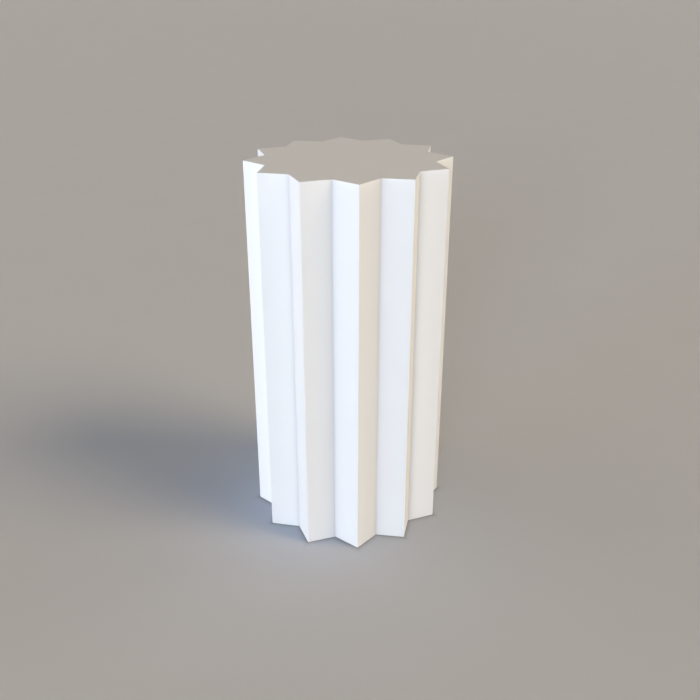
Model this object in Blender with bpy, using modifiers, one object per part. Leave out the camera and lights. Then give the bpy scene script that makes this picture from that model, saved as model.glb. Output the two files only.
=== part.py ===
"""A free-standing star column: one upright solid with sharp arrises between V-shaped flutes.

The plan is a twelve-pointed star, the same at every height. The top and the foot are flat. Its axis
is Z, it stands on the plane Z = 0, and one arris points along +X. All sizes are in metres.
"""

import math

import bpy

COLUMN_HEIGHT = 1.000  # from the floor to the flat top
ARRIS_COUNT = 12  # points of the star
ARRIS_RADIUS = 0.265  # from the axis to the sharp line of an arris
FLUTE_DEPTH = 0.0465  # from the arris line in to the bottom of a flute, along the radius
EDGE_ROUND = 0.0014  # how far back from its line each edge starts to round
EDGE_ROUND_STEPS = 2  # flat facets in each rounded edge
ROUNDED_ABOVE = math.radians(25)  # edges that turn by more than this are rounded
WELD_SHARE = 1 / 20  # of EDGE_ROUND: points closer than this are in one place and are joined

SHELL_COLOUR = (0.82, 0.81, 0.79, 1.0)  # matt white paint over plaster
SHELL_ROUGHNESS = 0.62


def clear_scene():
    """Remove what the file holds, so that only the column is left."""
    for thing in list(bpy.data.objects):
        bpy.data.objects.remove(thing, do_unlink=True)


def new_collection(name):
    """A collection linked to the scene."""
    collection = bpy.data.collections.new(name)
    bpy.context.scene.collection.children.link(collection)
    return collection


def painted_plaster():
    """The matt white finish of the whole column."""
    material = bpy.data.materials.new("matt_white_plaster")
    material.use_nodes = True
    shader = material.node_tree.nodes["Principled BSDF"]
    shader.inputs["Base Color"].default_value = SHELL_COLOUR
    shader.inputs["Roughness"].default_value = SHELL_ROUGHNESS
    shader.inputs["Metallic"].default_value = 0.0
    return material


def star_corners():
    """Corners of the plan in turn: an arris, then the bottom of the flute half a step further on."""
    half_step = math.pi / ARRIS_COUNT
    corners = []
    for index in range(2 * ARRIS_COUNT):
        radius = ARRIS_RADIUS - FLUTE_DEPTH * (index % 2)
        corners.append((radius * math.cos(index * half_step), radius * math.sin(index * half_step)))
    return corners


def star_outline(name):
    """The closed plan as a filled flat curve, as thick as the column is tall."""
    curve = bpy.data.curves.new(name, "CURVE")
    curve.dimensions = "2D"
    curve.fill_mode = "BOTH"
    curve.extrude = COLUMN_HEIGHT / 2
    corners = star_corners()
    spline = curve.splines.new("POLY")
    spline.points.add(len(corners) - 1)
    for point, (x, y) in zip(spline.points, corners):
        point.co = (x, y, 0.0, 1.0)
    spline.use_cyclic_u = True
    return curve


def add_column(collection):
    """Stand the outline on the floor, join its caps to its sides and round every edge a little."""
    outline = star_outline("column")
    outline.materials.append(painted_plaster())
    column = bpy.data.objects.new("column", outline)
    column.location = (0.0, 0.0, COLUMN_HEIGHT / 2)
    collection.objects.link(column)

    weld = column.modifiers.new("join_caps", "WELD")
    weld.merge_threshold = EDGE_ROUND * WELD_SHARE

    rounding = column.modifiers.new("round_edges", "BEVEL")
    rounding.width = EDGE_ROUND
    rounding.segments = EDGE_ROUND_STEPS
    rounding.limit_method = "ANGLE"
    rounding.angle_limit = ROUNDED_ABOVE
    return column


def main():
    clear_scene()
    add_column(new_collection("star_column"))


main()
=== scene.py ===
import math

import bpy
import numpy as np
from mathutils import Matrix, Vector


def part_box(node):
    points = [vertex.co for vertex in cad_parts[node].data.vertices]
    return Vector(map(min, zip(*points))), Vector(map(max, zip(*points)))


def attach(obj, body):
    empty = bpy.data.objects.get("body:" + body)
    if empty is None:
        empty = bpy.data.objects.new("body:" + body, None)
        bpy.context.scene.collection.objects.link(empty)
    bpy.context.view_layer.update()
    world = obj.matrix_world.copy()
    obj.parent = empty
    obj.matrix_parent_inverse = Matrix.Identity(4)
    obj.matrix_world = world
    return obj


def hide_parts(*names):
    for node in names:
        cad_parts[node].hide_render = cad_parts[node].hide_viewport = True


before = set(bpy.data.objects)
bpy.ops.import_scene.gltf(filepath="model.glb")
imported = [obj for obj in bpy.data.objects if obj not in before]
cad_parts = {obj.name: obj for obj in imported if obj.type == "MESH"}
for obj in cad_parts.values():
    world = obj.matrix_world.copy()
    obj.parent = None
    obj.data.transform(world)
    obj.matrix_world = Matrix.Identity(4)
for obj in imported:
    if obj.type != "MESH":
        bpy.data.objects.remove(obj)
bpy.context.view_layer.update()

# The column's plan and height, in metres, as the CAD has them.
ARRIS_COUNT = 12
ARRIS_RADIUS = 0.265  # axis to the sharp line of an arris
FLUTE_DEPTH = 0.0465  # arris line in to the bottom of a flute
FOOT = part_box("column")[0].z
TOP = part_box("column")[1].z
HALF_STEP = math.pi / ARRIS_COUNT  # angle from an arris to the flute beside it

# Shape of the finish, in metres.
EDGE_ROUND = 0.0015  # radius that sanding and paint leave on an arris and on a rim
CREASE_ROUND = 0.0026  # radius that paint leaves in the bottom of a flute
SANDING_WAVE = 0.00012  # how far a hand-sanded face strays from flat
SANDING_FADE = 0.05  # distance from a rim over which the sanding fades out
CREASE_SHADE_REACH = 0.006  # how far out of a flute's bottom the painted shade in it reaches
STIPPLE_HEIGHT = 0.00004  # of the paint roller's stipple

# Sizes of the patterns in the paint, in millimetres.
TONE_DRIFT_MM = 90.0  # a hand's width
RUBBED_PATCH_MM = 35.0
STIPPLE_MM = 1.5
FLOOR_DRIFT_MM = 400.0

# How the paint takes the light.
TONE_SWAY = 0.15  # how far the drift moves a place between the lighter flute tone and the greyer arris tone, which are painted light and shade
STIPPLE_STRENGTH = 0.5
LEAST_ROUGHNESS = 0.58
MOST_ROUGHNESS = 0.70
EMULSION_IOR = 1.5
EMULSION_SPECULAR = 0.4
FLOOR_ROUGHNESS = 0.85

# Grid of the column's surface, in steps.
ARC_STEPS = 5  # round an arris, a crease or a rim
FLANK_STEPS = 12  # from an arris to the bottom of a flute
WALL_STEPS = 90  # from rim to rim
CAP_STEPS = 14  # from a rim to the axis

# The floor, in metres, and the rings that carry the painted contact shadow along the foot.
FLOOR_RADIUS = 44.0  # far enough to fill the photograph's view
FOOT_SHADOW_REACH = 0.007  # how far out from the foot the painted contact shadow reaches
FOOT_SHADOW_END = 8.0  # reaches out from the foot, where no painted shadow is left
FOOT_SHADOW_RINGS = 25

# The photograph's view. Angles are in degrees, and the photograph is square.
PHOTO_PIXELS = 700
FOCAL_PIXELS = 865.5
VIEW_TURN = -4.957  # the camera looks along +Y turned by this about Z
VIEW_DOWN = 25.11
EYE = (0.0024, -2.1646, 1.4845)  # before the turn
SENSOR_MM = 36.0
VIEW_LIMIT = 200.0  # metres, past the floor's rim

# The lamp inside the column. It stays closer to the axis than the plane of any face.
GLOW_RADIUS = 0.13
GLOW_AZIMUTH = 215.0  # degrees, from the camera's right, anticlockwise
GLOW_HEIGHT = 0.25
GLOW_COLOUR = (0.425, 0.635, 1.00)
GLOW_WATTS = 1.14
GLOW_SIZE = 0.03


def linear(hex_colour):
    """An sRGB hex colour as the linear red, green, blue and alpha that a shader takes."""
    channels = [int(hex_colour[i:i + 2], 16) / 255 for i in (1, 3, 5)]
    return (*[c / 12.92 if c <= 0.04045 else ((c + 0.055) / 1.055) ** 2.4 for c in channels], 1.0)


def turned(x, y, degrees):
    """A plan point turned about the column's axis."""
    angle = math.radians(degrees)
    return (x * math.cos(angle) - y * math.sin(angle), x * math.sin(angle) + y * math.cos(angle))


def new_object(name, data):
    """An object of this mesh, lamp or camera, at the origin and linked to the scene."""
    made = bpy.data.objects.new(name, data)
    bpy.context.scene.collection.objects.link(made)
    return made


# Materials

def add(tree, kind, inputs=None, **settings):
    """Add a node of this kind, with its settings, and give each input a value or a link."""
    node = tree.nodes.new(kind)
    for name, value in settings.items():
        setattr(node, name, value)
    for name, value in (inputs or {}).items():
        if isinstance(value, bpy.types.NodeSocket):
            tree.links.new(value, node.inputs[name])
        else:
            node.inputs[name].default_value = value
    return node


def new_material(name):
    """An empty node material, its tree and its Principled shader, joined to the output."""
    material = bpy.data.materials.new(name)
    material.use_nodes = True
    tree = material.node_tree
    tree.nodes.clear()
    shader = add(tree, "ShaderNodeBsdfPrincipled")
    add(tree, "ShaderNodeOutputMaterial", {"Surface": shader.outputs["BSDF"]})
    return material, tree, shader


def per_metre(size_mm):
    """Noise scale whose features are about this many millimetres across, on metre coordinates."""
    return 1000.0 / size_mm


def matt_emulsion_on_plaster():
    """Cast plaster, rubbed down by hand and rolled with matt white emulsion.

    It gives a chalky white with almost no gloss. The colour is painted lighter in the flutes and
    greyer towards the arrises: painted light and shade across each face. A painted shade darkens
    the very bottom of a flute. The tone also drifts by about a hundredth over a hand's width, and
    the roller leaves a fine stipple.
    """
    material, tree, shader = new_material("matt_emulsion_on_plaster")
    places = add(tree, "ShaderNodeTexCoord").outputs["Object"]
    # Painted light and shade: the base colour is lighter (#ececeb) towards a flute's bottom and greyer
    # (#e3e3e2) towards the arris.
    painted_arris_shade = add(tree, "ShaderNodeAttribute", attribute_name="painted_arris_shade")
    drift = add(tree, "ShaderNodeTexNoise",
                {"Vector": places, "Scale": per_metre(TONE_DRIFT_MM), "Detail": 3.0})
    sway = add(tree, "ShaderNodeMapRange",
               {"Value": drift.outputs["Fac"], "To Min": -TONE_SWAY, "To Max": TONE_SWAY})
    share = add(tree, "ShaderNodeMath",
                {0: painted_arris_shade.outputs["Fac"], 1: sway.outputs["Result"]}, operation="ADD")
    tone = add(tree, "ShaderNodeMix", {"Factor": share.outputs["Value"]}, data_type="RGBA")
    tone.inputs["A"].default_value = linear("#ececeb")
    tone.inputs["B"].default_value = linear("#e3e3e2")
    # Painted shade: the bottom of each flute is darkened towards #d6d7da.
    painted_crease_shade = add(tree, "ShaderNodeAttribute", attribute_name="painted_crease_shade")
    colour = add(tree, "ShaderNodeMix", {"Factor": painted_crease_shade.outputs["Fac"]}, data_type="RGBA")
    tree.links.new(tone.outputs["Result"], colour.inputs["A"])
    colour.inputs["B"].default_value = linear("#d6d7da")
    tree.links.new(colour.outputs["Result"], shader.inputs["Base Color"])

    rubbed = add(tree, "ShaderNodeTexNoise",
                 {"Vector": places, "Scale": per_metre(RUBBED_PATCH_MM), "Detail": 2.0})
    gloss = add(tree, "ShaderNodeMapRange",
                {"Value": rubbed.outputs["Fac"], "To Min": LEAST_ROUGHNESS, "To Max": MOST_ROUGHNESS})
    tree.links.new(gloss.outputs["Result"], shader.inputs["Roughness"])

    stipple = add(tree, "ShaderNodeTexNoise",
                  {"Vector": places, "Scale": per_metre(STIPPLE_MM), "Detail": 2.0})
    relief = add(tree, "ShaderNodeBump", {"Height": stipple.outputs["Fac"], "Distance": STIPPLE_HEIGHT})
    relief.inputs["Strength"].default_value = STIPPLE_STRENGTH
    tree.links.new(relief.outputs["Normal"], shader.inputs["Normal"])
    shader.inputs["IOR"].default_value = EMULSION_IOR
    shader.inputs["Specular IOR Level"].default_value = EMULSION_SPECULAR
    return material


def pale_matt_floor_paint():
    """A plain studio floor in pale matt floor paint: even, with only a faint drift of tone.

    Where the column stands on it, a thin line of painted contact shadow darkens the floor along the foot.
    """
    material, tree, shader = new_material("pale_matt_floor_paint")
    places = add(tree, "ShaderNodeTexCoord").outputs["Object"]
    drift = add(tree, "ShaderNodeTexNoise",
                {"Vector": places, "Scale": per_metre(FLOOR_DRIFT_MM), "Detail": 2.0})
    tone = add(tree, "ShaderNodeMix", {"Factor": drift.outputs["Fac"]}, data_type="RGBA")
    tone.inputs["A"].default_value = linear("#d1d1d2")
    tone.inputs["B"].default_value = linear("#d4d4d5")
    # Painted contact shadow: the floor is darkened towards #a19e9a in a thin line along the column's foot.
    painted_contact_shadow = add(tree, "ShaderNodeAttribute", attribute_name="painted_contact_shadow")
    colour = add(tree, "ShaderNodeMix", {"Factor": painted_contact_shadow.outputs["Fac"]}, data_type="RGBA")
    tree.links.new(tone.outputs["Result"], colour.inputs["A"])
    colour.inputs["B"].default_value = linear("#a19e9a")
    tree.links.new(colour.outputs["Result"], shader.inputs["Base Color"])
    shader.inputs["Roughness"].default_value = FLOOR_ROUGHNESS
    return material


# The column's surface

def bunched(steps):
    """Shares from 0 to 1, closer together at both ends, by half a turn of a cosine."""
    return 0.5 - 0.5 * np.cos(np.linspace(0.0, math.pi, steps + 1))


def plan_outline():
    """Points of the plan, their outward normals and their distance to the nearest flute bottom.

    One twelfth of the star is an arc round the arris, a straight flank, a reversed arc round the
    flute bottom and the mirrored flank. An arc's point is its centre plus or minus its radius times
    the normal, which swings evenly from one flank's normal to the next. The twelfth is then turned
    about the axis, once for each arris.
    """
    valley = ARRIS_RADIUS - FLUTE_DEPTH
    run = np.array([valley * math.cos(HALF_STEP) - ARRIS_RADIUS, valley * math.sin(HALF_STEP)])
    flank = math.atan2(-run[0], run[1])
    swing = flank - HALF_STEP
    arris_centre = np.array([ARRIS_RADIUS - EDGE_ROUND / math.cos(flank), 0.0])
    crease_radius = valley + CREASE_ROUND / math.cos(swing)
    crease_centre = crease_radius * np.array([math.cos(HALF_STEP), math.sin(HALF_STEP)])

    arris_angles = np.linspace(-flank, flank, ARC_STEPS + 1)
    crease_angles = np.linspace(flank, 2 * HALF_STEP - flank, ARC_STEPS + 1)
    arris_normals = np.stack([np.cos(arris_angles), np.sin(arris_angles)], 1)
    crease_normals = np.stack([np.cos(crease_angles), np.sin(crease_angles)], 1)
    arris_arc = arris_centre + EDGE_ROUND * arris_normals
    crease_arc = crease_centre - CREASE_ROUND * crease_normals

    shares = bunched(FLANK_STEPS)[1:-1, None]
    next_arris = np.array(turned(*arris_arc[0], math.degrees(2 * HALF_STEP)))
    down = arris_arc[-1] + shares * (crease_arc[0] - arris_arc[-1])
    up = crease_arc[-1] + shares * (next_arris - crease_arc[-1])
    points = np.concatenate([arris_arc, down, crease_arc, up])
    normals = np.concatenate([
        arris_normals,
        np.repeat(arris_normals[-1:], len(down), 0),
        crease_normals,
        np.repeat(crease_normals[-1:], len(up), 0),
    ])
    bottom = valley * np.array([math.cos(HALF_STEP), math.sin(HALF_STEP)])
    depth = np.linalg.norm(points - bottom, axis=1)

    angles = 2 * HALF_STEP * np.arange(ARRIS_COUNT)
    turns = np.stack([np.cos(angles), -np.sin(angles), np.sin(angles), np.cos(angles)], 1).reshape(-1, 2, 2)
    all_points = np.einsum("kij,nj->kni", turns, points).reshape(-1, 2)
    all_normals = np.einsum("kij,nj->kni", turns, normals).reshape(-1, 2)
    return all_points, all_normals, np.tile(depth, ARRIS_COUNT)


def wave(distance, rate, start):
    """The sine of a distance times a rate in radians a metre, from an angle at its start."""
    return np.sin(rate * distance + start)


def sanding(points):
    """How far hand sanding has gone in at each point: slow waves of two to four hands' width."""
    x, y, z = np.moveaxis(points, -1, 0)
    along = wave(x, rate=31.0, start=1.3) * wave(z, rate=17.0, start=0.4)
    across = wave(y, rate=27.0, start=2.1) * wave(z, rate=23.0, start=1.9)
    return SANDING_WAVE * (0.5 + 0.25 * (along + across))


def column_grid():
    """The whole surface as rows of the plan outline, from the middle of the foot to the middle of the top.

    Each row is the outline drawn in along its normals by the rim's rounding, at that row's height, and
    by the sanding, which fades out towards the rims. The rows of the foot and the top are the last rim
    row shrunk towards the axis.
    """
    outline, normals, depth = plan_outline()
    quarter = np.linspace(0.0, math.pi / 2, ARC_STEPS + 1)
    rim_in = EDGE_ROUND * (1.0 - np.sin(quarter))
    rim_up = EDGE_ROUND * (1.0 - np.cos(quarter))
    wall = FOOT + EDGE_ROUND + (TOP - FOOT - 2 * EDGE_ROUND) * bunched(WALL_STEPS)[1:-1]
    insets = np.concatenate([rim_in, np.zeros(len(wall)), rim_in[::-1]])
    heights = np.concatenate([FOOT + rim_up, wall, (TOP - rim_up)[::-1]])

    plan = outline[None] - insets[:, None, None] * normals[None]
    rows = np.concatenate([plan, np.broadcast_to(heights[:, None, None], (*plan.shape[:2], 1))], 2)
    from_rims = (rows[..., 2] - FOOT) * (TOP - rows[..., 2]) / (SANDING_FADE * (TOP - FOOT))
    inward = sanding(rows) * np.clip(from_rims, 0.0, 1.0)
    rows[..., :2] -= inward[..., None] * normals[None]

    shrink = 1.0 - bunched(CAP_STEPS)[1:-1]
    to_axis = np.stack([shrink, shrink, np.ones_like(shrink)], 1)[:, None, :]
    grid = np.concatenate([rows[0][None] * to_axis[::-1], rows, rows[-1][None] * to_axis])
    return grid, np.tile(depth, len(grid))


def ring_quads(ring_count, width):
    """Four-sided faces between each ring of points and the next, closed round the rings.

    They face away from the axis where the rings run anticlockwise and climb.
    """
    ring, place = np.meshgrid(np.arange(ring_count - 1), np.arange(width), indexing="ij")
    beside = (place + 1) % width
    lower = ring * width
    upper = (ring + 1) * width
    return np.stack([lower + place, lower + beside, upper + beside, upper + place], -1).reshape(-1, 4)


def mark(mesh, name, shares):
    """Give the mesh a share from 0 to 1 at each vertex, for its material to read."""
    attribute = mesh.attributes.new(name, "FLOAT", "POINT")
    attribute.data.foreach_set("value", shares.astype(np.float32))


def stand_column(material):
    """The column as one closed mesh, marked for the paint.

    The painted shade in the flutes falls off by a power of e over its reach, with the distance from a
    flute's bottom. The painted arris shade grows evenly from there to the arris, so the flutes are
    painted lighter.
    """
    grid, depth = column_grid()
    row_count, width = grid.shape[:2]
    vertices = np.concatenate([grid.reshape(-1, 3), [[0.0, 0.0, FOOT], [0.0, 0.0, TOP]]])
    depth = np.concatenate([depth, [0.0, 0.0]])

    around = np.arange(width)
    following = (around + 1) % width
    foot_middle = np.full(width, row_count * width)
    foot_fan = np.stack([foot_middle, following, around], 1)
    last = (row_count - 1) * width
    top_fan = np.stack([foot_middle + 1, last + around, last + following], 1)
    faces = ring_quads(row_count, width).tolist() + foot_fan.tolist() + top_fan.tolist()

    mesh = bpy.data.meshes.new("star_column")
    mesh.from_pydata(vertices, [], faces)
    flat = (vertices[:, 2] <= FOOT) | (vertices[:, 2] >= TOP)
    # Painted shade in the bottom of each flute.
    mark(mesh, "painted_crease_shade", np.where(flat, 0.0, np.exp(-depth / CREASE_SHADE_REACH)))
    # Painted light and shade: lighter in the flutes, greyer towards the arrises.
    mark(mesh, "painted_arris_shade", np.where(flat, 0.5, depth / depth.max()))
    mesh.materials.append(material)
    mesh.shade_smooth()
    column = new_object("star_column", mesh)
    # The light of its faces on each other is weak, and floor_glow stands in for it on the floor.
    column.visible_diffuse = False
    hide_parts("column")
    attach(column, "root")


# Studio

def lay_floor(material):
    """A wide flat floor, made of rings that start just inside the foot and follow its outline outwards.

    A ring's point is the outline's point moved away from the axis by the ring's step. The painted
    contact shadow falls off by a power of e over its reach, with the step.
    """
    outline = plan_outline()[0]
    away = outline / np.linalg.norm(outline, axis=1, keepdims=True)
    near = FOOT_SHADOW_REACH * np.linspace(0.0, FOOT_SHADOW_END, FOOT_SHADOW_RINGS)
    steps = np.concatenate([[-FOOT_SHADOW_REACH], near, [FLOOR_RADIUS]])
    rings = outline[None] + steps[:, None, None] * away[None]
    grid = np.concatenate([rings, np.full((*rings.shape[:2], 1), FOOT)], 2)
    ring_count, width = grid.shape[:2]
    facing_up = ring_quads(ring_count, width)[:, [0, 3, 2, 1]]

    mesh = bpy.data.meshes.new("floor")
    mesh.from_pydata(grid.reshape(-1, 3), [], facing_up.tolist() + [list(range(width))])
    # Painted contact shadow along the foot, fading with the step.
    painted_contact_shadow = np.exp(-np.maximum(steps, 0.0) / FOOT_SHADOW_REACH)
    mark(mesh, "painted_contact_shadow", np.repeat(painted_contact_shadow, width))
    mesh.materials.append(material)
    new_object("floor", mesh)


def soft_sun(name, azimuth, elevation, spread, colour, strength):
    """An even light from far off. The azimuth is counted from the camera's right, anticlockwise."""
    data = bpy.data.lights.new(name, "SUN")
    data.color = colour
    data.energy = strength
    data.angle = math.radians(spread)
    lamp = new_object(name, data)
    lamp.rotation_euler = (math.radians(90.0 - elevation), 0.0, math.radians(azimuth + 90.0 + VIEW_TURN))


def studio_lights():
    """Broad cool light low from the left and the front, warm light from the right, a weak fill behind."""
    soft_sun("far_left", azimuth=160, elevation=5, spread=30, colour=(1.00, 0.915, 0.93), strength=1.06)
    soft_sun("left", azimuth=190, elevation=3, spread=40, colour=(0.87, 0.92, 1.00), strength=1.61)
    soft_sun("front_left", azimuth=220, elevation=5, spread=30, colour=(0.62, 0.785, 1.00), strength=1.21)
    soft_sun("front", azimuth=260, elevation=5, spread=30, colour=(0.86, 0.91, 1.00), strength=2.90)
    soft_sun("right_high", azimuth=340, elevation=40, spread=30, colour=(1.00, 0.82, 0.585), strength=1.36)
    soft_sun("right_low", azimuth=350, elevation=3, spread=40, colour=(1.00, 0.78, 0.475), strength=0.425)
    soft_sun("far_right", azimuth=20, elevation=5, spread=30, colour=(1.00, 0.97, 0.86), strength=1.30)
    soft_sun("behind", azimuth=90, elevation=25, spread=80, colour=(1.00, 0.98, 1.00), strength=0.455)


def floor_glow():
    """The cool light that the column's bright left front throws on the floor round the foot.

    It is a small lamp inside the solid that casts no shadow. It lies behind the plane of every face of
    the column, so it lights the floor alone.
    """
    data = bpy.data.lights.new("floor_glow", "POINT")
    data.color = GLOW_COLOUR
    data.energy = GLOW_WATTS
    data.shadow_soft_size = GLOW_SIZE
    data.use_shadow = False
    lamp = new_object("floor_glow", data)
    lamp.location = (*turned(GLOW_RADIUS, 0.0, GLOW_AZIMUTH + VIEW_TURN), GLOW_HEIGHT)


def hang_backdrop():
    """A plain grey beyond the floor. It is there for the eye alone and gives no light."""
    world = bpy.data.worlds.new("backdrop")
    world.use_nodes = True
    tree = world.node_tree
    tree.nodes.clear()
    seen = add(tree, "ShaderNodeLightPath").outputs["Is Camera Ray"]
    grey = add(tree, "ShaderNodeBackground", {"Color": linear("#a5a29d"), "Strength": seen})
    add(tree, "ShaderNodeOutputWorld", {"Surface": grey.outputs["Background"]})
    bpy.context.scene.world = world


def place_camera():
    """The camera at the photograph's place, with its focal length and downward tilt."""
    data = bpy.data.cameras.new("photo_view")
    data.sensor_width = SENSOR_MM
    data.lens = FOCAL_PIXELS / PHOTO_PIXELS * SENSOR_MM
    data.clip_end = VIEW_LIMIT
    camera = new_object("photo_view", data)
    camera.location = (*turned(EYE[0], EYE[1], VIEW_TURN), EYE[2])
    camera.rotation_euler = (math.radians(90.0 - VIEW_DOWN), 0.0, math.radians(VIEW_TURN))
    bpy.context.scene.camera = camera


stand_column(matt_emulsion_on_plaster())
lay_floor(pale_matt_floor_paint())
studio_lights()
floor_glow()
hang_backdrop()
place_camera()
bpy.context.scene.view_settings.view_transform = "Standard"
